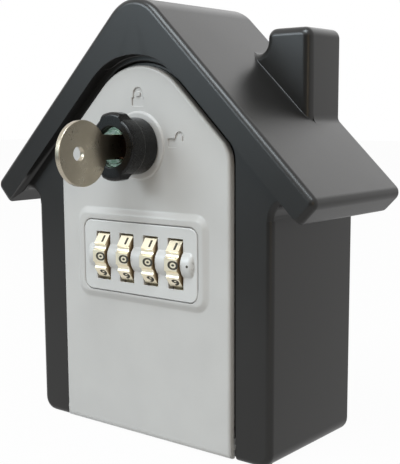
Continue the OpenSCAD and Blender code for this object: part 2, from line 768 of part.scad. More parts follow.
// Knob with two grip lugs and an index groove
module knob() color(BLACK_COL) {
    difference() {
        union() {
            turned([
                [barrel_r, -knob_back], [neck_r, -knob_back], [neck_r, -knob_front - head_l],
                [knob_r, -knob_front - head_l + 0.5], [knob_r, -knob_front - 0.7],
                [knob_r - 0.7, -knob_front], [barrel_r + 0.4, -knob_front], [barrel_r, -knob_front - 0.4]
            ]);
            for (sz = [-1, 1]) intersection() {
                along_y(knob_front, knob_front + lug_l) polygon(grip_lug(sz));
                turned(concat([[barrel_r + 1, -knob_front - lug_l], [knob_r, -knob_front - lug_l],
                    [lug_top, -knob_front - lug_l + 1]], quarter(lug_top - 1.2, -knob_front - 1.3, 1.2, 0),
                    [[barrel_r + 1, -knob_front - 0.1]]));
            }
        }
        block([barrel_r - 0.5, knob_r + over], [knob_front - over, knob_front + 0.35],
            [knob_z - 0.3, knob_z + 0.3]);
    }
}
function grip_lug(sz) =
    [for (p = [[58, knob_r - 0.8], [70, lug_top + 0.1], [80, lug_top + 0.3], [90, lug_top + 0.4],
        [100, lug_top + 0.3], [110, lug_top + 0.1], [122, knob_r - 0.8]])
        [p[1] * cos(p[0]), knob_z + sz * p[1] * sin(p[0])]];

// Lock barrel through the door, with the cam and its nut behind
module lock_barrel() color(STEEL_COL) {
    difference() {
        rod_y(barrel_front, barrel_back, barrel_r, 0, knob_z);
        rod_y(barrel_front - over, barrel_back - 1.2, plug_r + run_gap, 0, knob_z);
        lock_notch();
    }
}
// Channel across the lock's face, which the key's shoulder points into
module lock_notch() {
    half = blade_h / 2 + 0.4;
    block([-barrel_r - over, barrel_r + over], [plug_face - over, barrel_front + notch_d],
        [knob_z - half, knob_z + half]);
}
module drive_cam() color(STEEL_COL) {
    difference() {
        along_y(bolt_y0, bolt_y1) translate([0, knob_z]) polygon(concat(cam_flank(), cam_hub()));
        rod_y(bolt_y0 - over, bolt_y1 + over, barrel_r, 0, knob_z);
    }
}
// Flank whose flat follower moves by the same amount for each degree of turn
function cam_flank() =
    let (reach = function (a) cam_max + cam_rate * (a + 90) * PI / 180)
    [for (a = [-90:-6:-180]) [reach(a) * cos(a) - cam_rate * sin(a), reach(a) * sin(a) + cam_rate * cos(a)]];
function cam_hub() = [for (a = [175:-7:-21]) (cam_min - cam_gap) * [cos(a), sin(a)]];
module barrel_nut() color(BRASS_COL) {
    difference() {
        rod_y(bolt_y1, bolt_y1 + nut_t, barrel_r + 2.4, 0, knob_z, 6);
        rod_y(bolt_y1 - over, bolt_y1 + nut_t + over, barrel_r, 0, knob_z);
    }
}

// Lock plug with its keyway
module lock_plug() color(STEEL_COL) {
    difference() {
        union() {
            rod_y(plug_face, barrel_front, plug_r + 0.9, 0, knob_z);
            rod_y(barrel_front - 0.1, barrel_back - 1.3, plug_r, 0, knob_z);
        }
        block([-key_t / 2 - 0.1, key_t / 2 + 0.1], [plug_face - over, key_back + 0.5],
            [knob_z - blade_h / 2 - 0.15, knob_z + blade_h / 2 + 0.15]);
        lock_notch();
    }
}

// Key with a round bow, and a blade with cuts along both edges
module key() color(STEEL_COL) {
    difference() {
        union() {
            rod_x(-key_t / 2, key_t / 2, bow_r, bow_y, bow_z);
            block([-key_t / 2, key_t / 2], [bow_y, plug_face - 0.1], [knob_z - 3.7, knob_z + 3.7]);
            along_x(-key_t / 2, key_t / 2) translate([plug_face - 0.5, knob_z]) polygon(blade_outline());
        }
        rod_x(-key_t, key_t, ring_hole_r, hole_y, bow_z);
    }
}
function blade_outline() =
    let (l = key_back - plug_face + 0.5, h = blade_h / 2, p = (l - 5) / len(cuts))
    concat(
        [[0, h]],
        [for (i = [0:len(cuts) - 1]) each [[3 + i * p, h], [3 + (i + 0.3) * p, h - cuts[i]],
            [3 + (i + 0.6) * p, h - cuts[i]], [3 + (i + 0.9) * p, h]]],
        [[l - 1.6, h], [l, h - 2], [l, 2 - h], [l - 1.6, -h], [0, -h]]
    );

house_shell();
hinge_pin();
door_panel();
dial_plate();
barrel_bush();
lock_chassis();
chassis_screws();
detent_spring();
lock_cover();
cover_screws();
for (i = [0:3]) number_wheel(i);
code_axle();
for (i = [0:3]) code_sleeve(i);
reset_slider();
bolt_plate();
bolt_spring(-1);  // bolt_spring_left
bolt_spring(1);  // bolt_spring_right
knob();
lock_barrel();
drive_cam();
barrel_nut();
lock_plug();
key();
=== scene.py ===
"""Dresses the house-shaped key safe: finishes, soft edges, digits, screws, springs, light and camera."""
import json
import logging
import math
from contextlib import contextmanager
from dataclasses import dataclass
from enum import Enum
from typing import Iterator, Sequence

import bmesh
import bpy
import numpy as np
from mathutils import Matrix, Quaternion, Vector
from mathutils.geometry import intersect_point_line


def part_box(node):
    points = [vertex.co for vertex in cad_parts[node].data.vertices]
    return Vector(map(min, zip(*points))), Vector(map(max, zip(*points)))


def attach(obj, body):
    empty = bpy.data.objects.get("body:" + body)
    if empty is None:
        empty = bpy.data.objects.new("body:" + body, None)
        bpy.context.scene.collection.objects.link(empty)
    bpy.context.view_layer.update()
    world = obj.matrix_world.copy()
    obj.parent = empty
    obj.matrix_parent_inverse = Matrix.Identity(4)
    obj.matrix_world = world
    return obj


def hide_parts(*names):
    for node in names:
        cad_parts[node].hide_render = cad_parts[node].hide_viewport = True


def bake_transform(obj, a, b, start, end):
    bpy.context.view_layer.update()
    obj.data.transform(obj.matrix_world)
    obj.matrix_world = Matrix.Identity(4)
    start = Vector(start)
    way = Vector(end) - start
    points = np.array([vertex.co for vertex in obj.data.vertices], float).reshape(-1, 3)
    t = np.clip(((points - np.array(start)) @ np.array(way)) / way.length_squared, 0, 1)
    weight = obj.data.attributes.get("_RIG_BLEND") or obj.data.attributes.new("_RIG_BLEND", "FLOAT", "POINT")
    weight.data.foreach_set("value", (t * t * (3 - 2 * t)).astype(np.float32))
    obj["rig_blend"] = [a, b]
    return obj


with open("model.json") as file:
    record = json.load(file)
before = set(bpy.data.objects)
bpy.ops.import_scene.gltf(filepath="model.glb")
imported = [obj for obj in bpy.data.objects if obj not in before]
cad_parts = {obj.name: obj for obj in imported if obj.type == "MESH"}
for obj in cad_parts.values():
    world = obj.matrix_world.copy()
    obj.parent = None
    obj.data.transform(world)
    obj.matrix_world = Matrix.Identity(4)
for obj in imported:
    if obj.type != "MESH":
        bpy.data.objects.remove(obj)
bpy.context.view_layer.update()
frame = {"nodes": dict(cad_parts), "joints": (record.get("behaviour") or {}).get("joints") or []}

MM = 0.001
Object, Socket = bpy.types.Object, bpy.types.NodeSocket
Colour = Point3 = tuple[float, float, float]
Point2 = tuple[float, float]
WHITE: Colour = (1.0, 1.0, 1.0)
DOWN = 270.0  # the angle of -z, in degrees from +x towards +z
WHEELS = range(1, 5)
log = logging.getLogger("key_safe")


class Body(Enum):
    """Moving bodies of the safe."""

    HOUSE = "house"
    DOOR = "door"
    CODE_SET = "code_set"
    BOLT = "bolt"
    KNOB = "knob"
    PLUG = "plug"
    KEY = "key"
    WHEEL_1 = "wheel_1"
    WHEEL_2 = "wheel_2"
    WHEEL_3 = "wheel_3"
    WHEEL_4 = "wheel_4"


class Slot(Enum):
    """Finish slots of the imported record."""

    SHELL = "shell_black"
    DOOR = "door_grey"
    PLASTIC = "black_plastic"
    KNOB = "knob_black"
    WHEEL = "wheel_metal"
    STEEL = "steel"
    ZINC = "zinc_plate"
    BRASS = "brass"
    CHROME = "lock_chrome"
    KEY = "key_steel"


class NodeBench:
    """Adds nodes to one tree and joins them."""

    def __init__(self, tree: bpy.types.NodeTree) -> None:
        """Keeps the tree."""
        self.tree = tree

    def add(self, kind: str, inputs: dict[str, object] | None = None, **settings: object) -> bpy.types.Node:
        """Adds one node.

        Args:
            kind: Blender's name of the node type.
            inputs: values of its sockets, or sockets of other nodes to join to them.
            settings: properties of the node itself.

        Returns:
            The new node.
        """
        node = self.tree.nodes.new(kind)
        for name, value in settings.items():
            setattr(node, name, value)
        for name, value in (inputs or {}).items():
            socket = self.socket(node, name)
            if isinstance(value, Socket):
                self.tree.links.new(value, socket)
            else:
                socket.default_value = value
        return node

    @staticmethod
    def socket(node: bpy.types.Node, name: str) -> Socket:
        """Finds an input that is in use.

        Args:
            node: the node.
            name: the input's name, or its number where inputs share a name.

        Returns:
            The input.
        """
        if name.isdigit():
            return node.inputs[int(name)]
        return next(s for s in node.inputs if s.name == name and s.enabled)

    def join(self, source: Socket, node: bpy.types.Node, name: str) -> None:
        """Joins one more source to an input."""
        self.tree.links.new(source, self.socket(node, name))

    def math(self, operation: str, first: object, second: object = 0.0) -> Socket:
        """Works out two numbers or sockets by an operation such as MULTIPLY."""
        return self.add("ShaderNodeMath", {"0": first, "1": second}, operation=operation).outputs["Value"]

    def vector(self, x: object = 0.0, y: object = 0.0, z: object = 0.0) -> Socket:
        """Makes a vector of three numbers or sockets."""
        return self.add("ShaderNodeCombineXYZ", {"X": x, "Y": y, "Z": z}).outputs["Vector"]

    def ramp(self, value: Socket, low: float, high: float, start: float = 0.0, end: float = 1.0) -> Socket:
        """Maps what lies between low and high to start and end, and the rest to the nearer of the two."""
        spans = {"From Min": low, "From Max": high, "To Min": start, "To Max": end}
        return self.add("ShaderNodeMapRange", {"Value": value, **spans}).outputs["Result"]

    def axis(self, vector: Socket, name: str) -> Socket:
        """Takes X, Y or Z out of a vector."""
        return self.add("ShaderNodeSeparateXYZ", {"Vector": vector}).outputs[name]

    def mix(self, share: Socket, first: object, second: object) -> Socket:
        """Mixes two colours.

        Args:
            share: 0 for the first colour, 1 for the second.
            first: the first colour, or a socket.
            second: the second colour, or a socket.

        Returns:
            The mixed colour.
        """
        node = self.add("ShaderNodeMix", data_type="RGBA")
        self.join(share, node, "Factor")
        for name, colour in (("A", first), ("B", second)):
            if isinstance(colour, Socket):
                self.join(colour, node, name)
            else:
                self.socket(node, name).default_value = (*colour, 1.0)
        return next(s for s in node.outputs if s.enabled)


NOISE_SPAN: Point2 = (0.35, 0.65)  # the part of a noise in which nearly all of it lies
NOISE_SUM_SPAN: Point2 = (0.7, 1.3)
NOISE_ROUGHNESS = 0.55
PATCH_DETAIL, GRAIN_DETAIL = 3.0, 2.0


@dataclass(frozen=True)
class Finish:
    """One surface finish, made of noise on Object coordinates.

    Attributes:
        name: the material's name, which is no slot's name: the frame's plain materials have those.
        colour: main colour, linear.
        second: colour of the mottling, linear.
        roughness: middle of the roughness.
        spread: how far the roughness goes to either side.
        metallic: 1 for bare or plated metal.
        specular: specular level of paint and plastic.
        patch: size of the mottling in mm.
        grain: size of the grain in mm.
        relief: height of the grain in mm.
        stretch: share of the noise's density along x, y and z.
    """

    name: str
    colour: Colour
    second: Colour
    roughness: float
    spread: float = 0.04
    metallic: float = 0.0
    specular: float = 0.5
    patch: float = 14.0
    grain: float = 0.7
    relief: float = 0.004
    stretch: Point3 = (1.0, 1.0, 1.0)

    def material(self) -> bpy.types.Material:
        """Makes the material once.

        Returns:
            The material, shared by all pieces with this finish.
        """
        known = bpy.data.materials.get(self.name)
        if known:
            return known
        made = bpy.data.materials.new(self.name)
        made.use_nodes = True
        made.node_tree.nodes.clear()
        bench = NodeBench(made.node_tree)
        place = bench.add("ShaderNodeTexCoord").outputs["Object"]
        turned = bench.add("ShaderNodeMapping", {"Vector": place, "Scale": self.stretch}).outputs["Vector"]
        patches = self.noise(bench, place, self.patch, PATCH_DETAIL)
        grain = self.noise(bench, turned, self.grain, GRAIN_DETAIL)
        mottled = bench.mix(bench.ramp(patches, *NOISE_SPAN), self.colour, self.second)
        shader = bench.add("ShaderNodeBsdfPrincipled", {
            "Base Color": self.tint(bench, place, mottled),
            "Roughness": bench.ramp(bench.math("ADD", grain, patches), *NOISE_SUM_SPAN,
                                    self.roughness - self.spread, self.roughness + self.spread),
            "Metallic": self.metallic,
            "Specular IOR Level": self.specular,
        })
        bump = bench.add("ShaderNodeBump", {"Height": grain, "Strength": 1.0, "Distance": self.relief * MM})
        bench.join(bump.outputs["Normal"], shader, "Normal")
        bench.add("ShaderNodeOutputMaterial", {"Surface": shader.outputs["BSDF"]})
        return made

    @staticmethod
    def noise(bench: NodeBench, place: Socket, size: float, detail: float) -> Socket:
        """Adds a noise.

        Args:
            bench: the material's tree.
            place: Object coordinates.
            size: size of its spots in mm.
            detail: how many finer noises are in it.

        Returns:
            The noise.
        """
        return bench.add("ShaderNodeTexNoise", {
            "Vector": place, "Scale": 1 / (size * MM), "Detail": detail, "Roughness": NOISE_ROUGHNESS,
        }).outputs["Fac"]

    def tint(self, bench: NodeBench, place: Socket, mottled: Socket) -> Socket:
        """Takes the mottled colour as it is. Finishes with one more tone add it here."""
        return mottled


@dataclass(frozen=True)
class WheelPlatingShadedSides(Finish):
    """Pale plating whose sides, across the axle, are darker and browner: painted shade of the slots that the
    wheels turn in.
    """

    # painted shade: the darker brown of the sides stands in for the shade in the wheel slots
    side: Colour = (0.66, 0.52, 0.34)

    def tint(self, bench: NodeBench, place: Socket, mottled: Socket) -> Socket:
        """Adds the painted shade of the sides to the mottled colour."""
        across = bench.axis(bench.add("ShaderNodeTexCoord").outputs["Normal"], "X")
        return bench.mix(bench.math("ABSOLUTE", across), mottled, self.side)


@dataclass(frozen=True)
class LockFacing(Finish):
    """Polished lock metal at the front, and bare brass in the key channel behind it, darkened as painted shade of
    the deep recess.

    Attributes:
        shaded_bronze: dark brass colour in the channel, linear: painted shade of the recess.
        front: where that painted shade begins, in y, in mm.
        behind: where the metal is all in painted shade, in y, in mm.
    """

    # painted shade: this dark brass stands in for the shade deep in the recessed key channel
    shaded_bronze: Colour = (0.060, 0.032, 0.018)
    front: float = -34.2
    behind: float = -33.4

    def tint(self, bench: NodeBench, place: Socket, mottled: Socket) -> Socket:
        """Adds the painted shade of the key channel, as dark brass, to the mottled colour."""
        share = bench.ramp(bench.axis(place, "Y"), self.front * MM, self.behind * MM)
        return bench.mix(share, mottled, self.shaded_bronze)


SHELL_COATING = Finish("shell_coating", (0.0082, 0.0076, 0.0070), (0.0098, 0.0092, 0.0085), 0.33, 0.02,
                       specular=0.44, patch=22.0, grain=0.55, relief=0.0007)
DOOR_PAINT = Finish("door_paint", (0.440, 0.428, 0.420), (0.462, 0.450, 0.440), 0.34, 0.04,
                    specular=0.48, patch=18.0, grain=0.45, relief=0.0016)
# painted light: the door's grey paint, made lighter to offset the shade of the plate's recess in the boss
DIAL_PAINT_LIGHTENED = Finish("dial_paint", (0.500, 0.493, 0.488), (0.520, 0.513, 0.506), 0.32, 0.04,
                    specular=0.48, patch=12.0, grain=0.40, relief=0.0014)
MOULDED_BLACK = Finish("moulded_black", (0.012, 0.012, 0.013), (0.018, 0.018, 0.019), 0.52, 0.07,
                       specular=0.35, patch=9.0, grain=0.25, relief=0.006)
KNOB_BLACK = Finish("knob_coating", (0.0030, 0.0029, 0.0028), (0.0040, 0.0039, 0.0038), 0.28, 0.03,
                    specular=0.28, patch=8.0, grain=0.35, relief=0.0010)
DIGIT_INK = Finish("digit_ink", (0.030, 0.026, 0.018), (0.050, 0.044, 0.032), 0.55, 0.08,
                   specular=0.30, patch=1.2, grain=0.12, relief=0.002)
WHEEL_PLATING = WheelPlatingShadedSides("wheel_plating", (0.97, 0.89, 0.71), (0.92, 0.83, 0.62), 0.34, 0.05, 1.0,
                             patch=3.0, grain=0.12, relief=0.0008, stretch=(0.15, 1.0, 1.0))
BRIGHT_STEEL = Finish("bright_steel", (0.58, 0.58, 0.57), (0.50, 0.50, 0.50), 0.30, 0.07, 1.0,
                      patch=4.0, grain=0.15, relief=0.0012, stretch=(0.12, 1.0, 1.0))
SPRING_STEEL = Finish("spring_steel", (0.42, 0.42, 0.43), (0.34, 0.34, 0.35), 0.28, 0.05, 1.0,
                      patch=2.0, grain=0.10, relief=0.0008)
ZINC_PLATE = Finish("zinc_sheet", (0.50, 0.51, 0.52), (0.42, 0.44, 0.47), 0.38, 0.09, 1.0,
                    patch=5.0, grain=0.30, relief=0.0015, stretch=(1.0, 1.0, 0.10))
TURNED_BRASS = Finish("turned_brass", (0.66, 0.50, 0.22), (0.56, 0.41, 0.17), 0.30, 0.07, 1.0,
                      patch=3.0, grain=0.12, relief=0.0010, stretch=(1.0, 0.12, 1.0))
# painted reflection: both dark green colours of the polished lock face stand in for the green that it mirrors
LOCK_CHROME_GREEN_REFLECTION = LockFacing("lock_facing", (0.22, 0.25, 0.21), (0.10, 0.16, 0.11), 0.20, 0.05, 1.0,
                         patch=1.6, grain=0.20, relief=0.0010)
KEY_NICKEL = Finish("key_nickel", (0.50, 0.450, 0.360), (0.45, 0.400, 0.315), 0.30, 0.04, 1.0,
                    patch=5.0, grain=0.14, relief=0.0007, stretch=(1.0, 1.0, 0.14))


@dataclass(frozen=True)
class Edge:
    """How a copied solid's sharp edges are softened.

    Attributes:
        width: width of the rounding, in mm.
        segments: faces across the rounding.
        sharper_than: edges that turn more than this, in degrees, are rounded.
        smooth_below: edges that turn less than this, in degrees, are shaded smooth.
        weld: points closer than this, in mm, become one.
        flat: faces that turn less than this, in degrees, become one.
        trials: how often roundings that cross are made narrower.
        reach: how far around a crossing that goes at first, in widths.
        ease: share of the width that stays in the first third of the trials.
    """

    width: float = 0.25
    segments: int = 3
    sharper_than: float = 38.0
    smooth_below: float = 40.0
    weld: float = 0.012
    flat: float = 0.4
    trials: int = 9
    reach: float = 2.5
    ease: float = 0.4


WEIGHTS = "bevel_weight_edge"
LEAST_TURN = 0.05  # radians; a sharper corner counts as this one
LEAST_SLANT = 0.3  # sine of a corner; beside a straighter one a rounding needs no room
SHARED_ROOM, OWN_ROOM, END_ROOM = 0.45, 0.9, 0.8  # shares of an edge that roundings may take up
SAME_POINT = 1e-6  # metres, or share of an edge
STRIP_CORNERS = 4  # the faces of a rounding have no more


def link(name: str, mesh: bpy.types.Mesh) -> Object:
    """Makes an object of a mesh, at the origin.

    Args:
        name: the object's name.
        mesh: its mesh.

    Returns:
        The object.
    """
    made = bpy.data.objects.new(name, mesh)
    bpy.context.scene.collection.objects.link(made)
    return made


@contextmanager
def opened(mesh: bpy.types.Mesh, keep: bool = True) -> Iterator[bmesh.types.BMesh]:
    """Opens a mesh for work.

    Args:
        mesh: the mesh.
        keep: whether the changes are written back to it.

    Yields:
        The open mesh.
    """
    work = bmesh.new()
    work.from_mesh(mesh)
    yield work
    if keep:
        work.to_mesh(mesh)
    work.free()


def evaluated(piece: Object) -> bpy.types.Mesh:
    """Makes a new mesh of a piece with its modifiers."""
    depsgraph = bpy.context.evaluated_depsgraph_get()
    return bpy.data.meshes.new_from_object(piece.evaluated_get(depsgraph), depsgraph=depsgraph)


def settle(piece: Object) -> None:
    """Turns a piece and its modifiers into a plain mesh.

    Args:
        piece: the object, which loses its modifiers.
    """
    mesh, old = evaluated(piece), piece.data
    piece.modifiers.clear()
    piece.data = mesh
    mesh.name = piece.name
    bpy.data.meshes.remove(old)


def smooth(piece: Object, angle: float) -> None:
    """Shades a piece smooth below an angle, with the flats kept flat.

    Args:
        piece: the object.
        angle: edges that turn more than this, in degrees, stay sharp.
    """
    piece.data.polygons.foreach_set("use_smooth", [True] * len(piece.data.polygons))
    piece.data.set_sharp_from_angle(angle=math.radians(angle))
    weighted = piece.modifiers.new("even", "WEIGHTED_NORMAL")
    weighted.keep_sharp = True
    settle(piece)


def edge_room(edge: bmesh.types.BMEdge, sharp: set[bmesh.types.BMEdge]) -> float:
    """Finds how wide an edge's rounding may be before it meets the next one.

    Args:
        edge: the edge.
        sharp: all edges that are rounded.

    Returns:
        The width in metres.
    """
    room = math.inf
    for loop in edge.link_loops:
        after = loop.link_loop_next
        closing = 0.0
        for corner, near in ((loop, loop.link_loop_prev.edge), (after, after.edge)):
            turn = corner.calc_angle() if corner.is_convex else 2 * math.pi - corner.calc_angle()
            if near in sharp:
                closing += 1 / math.tan(max(turn, LEAST_TURN) / 2)
            elif abs(math.sin(turn)) > LEAST_SLANT:
                far = near.other_vert(corner.vert)
                share = SHARED_ROOM if any(e in sharp for e in far.link_edges) else OWN_ROOM
                room = min(room, share * near.calc_length() * abs(math.sin(turn)))
        if closing > 0:
            room = min(room, END_ROOM * edge.calc_length() / closing)
    return room


def weigh_edges(piece: Object, edge: Edge) -> None:
    """Marks a piece's sharp edges for rounding, each as wide as its own place allows.

    Args:
        piece: the object.
        edge: how its edges are rounded.
    """
    limit = math.radians(edge.sharper_than)
    with opened(piece.data) as work:
        share = work.edges.layers.float.new(WEIGHTS)
        sharp = {e for e in work.edges if len(e.link_faces) == 2 and e.calc_face_angle(0.0) > limit}
        for line in sharp:
            line[share] = min(1.0, edge_room(line, sharp) / (edge.width * MM))


def outline_crossings(face: bmesh.types.BMFace) -> list[Vector]:
    """Finds where a face's outline crosses itself.

    Args:
        face: a flat face.

    Returns:
        The crossings.
    """
    axis = max(range(3), key=lambda i: abs(face.normal[i]))
    ends = np.array([v.co for v in face.verts])
    start = np.delete(ends, axis, 1)
    along = np.roll(start, -1, 0) - start
    side = along[:, None, 0] * along[None, :, 1] - along[:, None, 1] * along[None, :, 0]
    gap = start[None, :, :] - start[:, None, :]
    with np.errstate(divide="ignore", invalid="ignore"):
        t = (gap[:, :, 0] * along[None, :, 1] - gap[:, :, 1] * along[None, :, 0]) / side
        u = (gap[:, :, 0] * along[:, None, 1] - gap[:, :, 1] * along[:, None, 0]) / side
    inside = (SAME_POINT < t) & (t < 1 - SAME_POINT) & (SAME_POINT < u) & (u < 1 - SAME_POINT)
    hits = np.argwhere(inside)
    rest = np.roll(ends, -1, 0) - ends
    return [Vector(ends[i] + t[i, j] * rest[i]) for i, j in hits if i < j]


def mesh_crossings(mesh: bpy.types.Mesh) -> list[Vector]:
    """Finds where the outlines of a mesh's larger faces cross themselves.

    Args:
        mesh: the mesh.

    Returns:
        The crossings.
    """
    with opened(mesh, keep=False) as work:
        large = [face for face in work.faces if len(face.verts) > STRIP_CORNERS]
        return [place for face in large for place in outline_crossings(face)]


def ease_edges(piece: Object, places: Sequence[Vector], reach: float, keep: float) -> None:
    """Makes the marked edges near some places narrower.

    Args:
        piece: the object.
        places: where the roundings would cross.
        reach: how far around them, in metres.
        keep: share of the width that stays.
    """
    with opened(piece.data) as work:
        share = work.edges.layers.float[WEIGHTS]
        for line in (e for e in work.edges if e[share] > 0):
            a, b = (v.co for v in line.verts)
            for place in places:
                foot, part = intersect_point_line(place, a, b)
                near = foot if 0 < part < 1 else (a if part <= 0 else b)
                if (place - near).length < reach:
                    line[share] *= keep
                    break


def soften(piece: Object, edge: Edge) -> None:
    """Rounds a piece's sharp edges, and less so where roundings would cross.

    Args:
        piece: the object.
        edge: how they are rounded.
    """
    if edge.width > 0:
        weigh_edges(piece, edge)
        bevel = piece.modifiers.new("edges", "BEVEL")
        bevel.limit_method = "WEIGHT"
        bevel.width = edge.width * MM
        bevel.segments = edge.segments
        bevel.use_clamp_overlap = False
        for number in range(edge.trials):
            trial = evaluated(piece)
            places = mesh_crossings(trial)
            bpy.data.meshes.remove(trial)
            if not places:
                break
            reach = (edge.reach + number) * edge.width * MM
            ease_edges(piece, places, reach, edge.ease if number < edge.trials // 3 else 0.0)
        if places:
            log.warning("%s: %d crossings left", piece.name, len(places))
        settle(piece)
    smooth(piece, edge.smooth_below)


def merge_flats(piece: Object, edge: Edge) -> None:
    """Merges a piece's points and flat neighbours.

    Args:
        piece: the object.
        edge: what counts as one point and as one flat.
    """
    weld, flat = edge.weld * MM, math.radians(edge.flat)
    with opened(piece.data) as work:
        bmesh.ops.remove_doubles(work, verts=work.verts, dist=weld)
        bmesh.ops.dissolve_degenerate(work, edges=work.edges, dist=weld)
        bmesh.ops.dissolve_limit(work, angle_limit=flat, verts=work.verts, edges=work.edges)


def combine(piece: Object, other: Object, operation: str) -> None:
    """Joins another closed shape to a piece or cuts it out, and uses the other one up.

    Args:
        piece: the object that stays.
        other: the object that is joined or cut out.
        operation: UNION or DIFFERENCE.
    """
    change = piece.modifiers.new("combine", "BOOLEAN")
    change.operation = operation
    change.solver = "EXACT"
    change.object = other
    settle(piece)
    mesh = other.data
    bpy.data.objects.remove(other)
    bpy.data.meshes.remove(mesh)


def hold_inside(piece: Object, solid: Object) -> None:
    """Draws the points that a rounding pushed past the solid's own box back to it.

    Args:
        piece: the softened copy.
        solid: the CAD node that it copies.
    """
    sides = list(zip(*(vert.co for vert in solid.data.vertices)))
    low, high = [min(side) for side in sides], [max(side) for side in sides]
    for vert in piece.data.vertices:
        vert.co = [min(max(value, least), most) for value, least, most in zip(vert.co, low, high)]


def solid_copy(node: str, name: str, edge: Edge, changes: Sequence[tuple[Object, str]] = ()) -> Object:
    """Copies a CAD node, with its triangles merged to faces and its edges softened.

    Args:
        node: the CAD node.
        name: the new piece's name.
        edge: how its edges are softened.
        changes: shapes that are joined to it or cut out of it, each with its operation.

    Returns:
        The new piece, in the node's place.
    """
    piece = link(name, frame["nodes"][node].data.copy())
    merge_flats(piece, edge)
    for other, operation in changes:
        combine(piece, other, operation)
    if changes:
        merge_flats(piece, edge)
    soften(piece, edge)
    hold_inside(piece, frame["nodes"][node])
    return piece


def wear(piece: Object, finish: Finish) -> None:
    """Gives a piece one finish."""
    piece.data.materials.clear()
    piece.data.materials.append(finish.material())


def fit(piece: Object, body: Body, slot: Slot, *nodes: str) -> Object:
    """Puts a finished piece on its body and reports it.

    Args:
        piece: the finished piece.
        body: what it moves with.
        slot: not used.
        nodes: CAD nodes that it stands for.

    Returns:
        The piece.
    """
    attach(piece, body.value)
    if nodes:
        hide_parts(*nodes)
    log.info("%s on %s, %d faces", piece.name, body.value, len(piece.data.polygons))
    return piece


def dress(node: str, name: str, body: Body, slot: Slot, finish: Finish, edge: Edge = Edge(),
          changes: Sequence[tuple[Object, str]] = ()) -> Object:
    """Replaces a CAD node by its softened copy.

    Args:
        node: the CAD node.
        name: the new piece's name.
        body: what it moves with.
        slot: handed on to fit, which does not use it.
        finish: its material.
        edge: how its edges are softened.
        changes: shapes that are joined to it or cut out of it, each with its operation.

    Returns:
        The new piece.
    """
    piece = solid_copy(node, name, edge, changes)
    wear(piece, finish)
    return fit(piece, body, slot, node)


def paint_node(node: str, finish: Finish) -> None:
    """Gives a CAD node that stays a finish."""
    wear(frame["nodes"][node], finish)
    log.info("%s keeps its solid", node)


def islands(node: str) -> list[tuple[Vector, Vector]]:
    """Finds the separate solids in a CAD node.

    Args:
        node: the CAD node.

    Returns:
        The lowest and highest corner of each.
    """
    found = []
    with opened(frame["nodes"][node].data, keep=False) as work:
        bmesh.ops.remove_doubles(work, verts=work.verts, dist=SAME_POINT)
        left = set(work.verts)
        while left:
            border, group = [left.pop()], []
            while border:
                vert = border.pop()
                group.append(vert.co.copy())
                for near in (e.other_vert(vert) for e in vert.link_edges):
                    if near in left:
                        left.remove(near)
                        border.append(near)
            sides = list(zip(*group))
            found.append((Vector(min(side) for side in sides), Vector(max(side) for side in sides)))
    return found


def stack(name: str, rings: Sequence[tuple[float, Sequence[Point2]]]) -> Object:
    """Makes a closed shape of outlines that stand behind each other.

    Args:
        name: the piece's name.
        rings: the y of each outline and its points in x and z, from front to back, in mm.

    Returns:
        The piece.
    """
    mesh = bpy.data.meshes.new(name)
    with opened(mesh) as work:
        loops = [[work.verts.new((x * MM, y * MM, z * MM)) for x, z in points] for y, points in rings]
        for near, far in zip(loops, loops[1:]):
            for i, vert in enumerate(near):
                j = (i + 1) % len(near)
                work.faces.new((near[j], vert, far[i], far[j]))
        work.faces.new(loops[0])
        work.faces.new(loops[-1][::-1])
        bmesh.ops.recalc_face_normals(work, faces=work.faces)
    return link(name, mesh)


def plate(name: str, outline: Sequence[Point2], front: float, back: float) -> Object:
    """Makes a flat plate of an outline in x and z, between two planes in y, in mm."""
    return stack(name, [(front, outline), (back, outline)])


def arc(centre: Point2, radius: float, start: float, end: float, steps: int) -> list[Point2]:
    """Points of an arc in x and z.

    Args:
        centre: its middle.
        radius: its radius.
        start: first angle in degrees, from +x towards +z.
        end: last angle in degrees.
        steps: number of steps.

    Returns:
        The points, both ends included.
    """
    turns = (math.radians(start + (end - start) * i / steps) for i in range(steps + 1))
    return [(centre[0] + radius * math.cos(a), centre[1] + radius * math.sin(a)) for a in turns]


def moved(by: Point2, points: Sequence[Point2]) -> list[Point2]:
    """Moves points in x and z."""
    return [(by[0] + x, by[1] + z) for x, z in points]


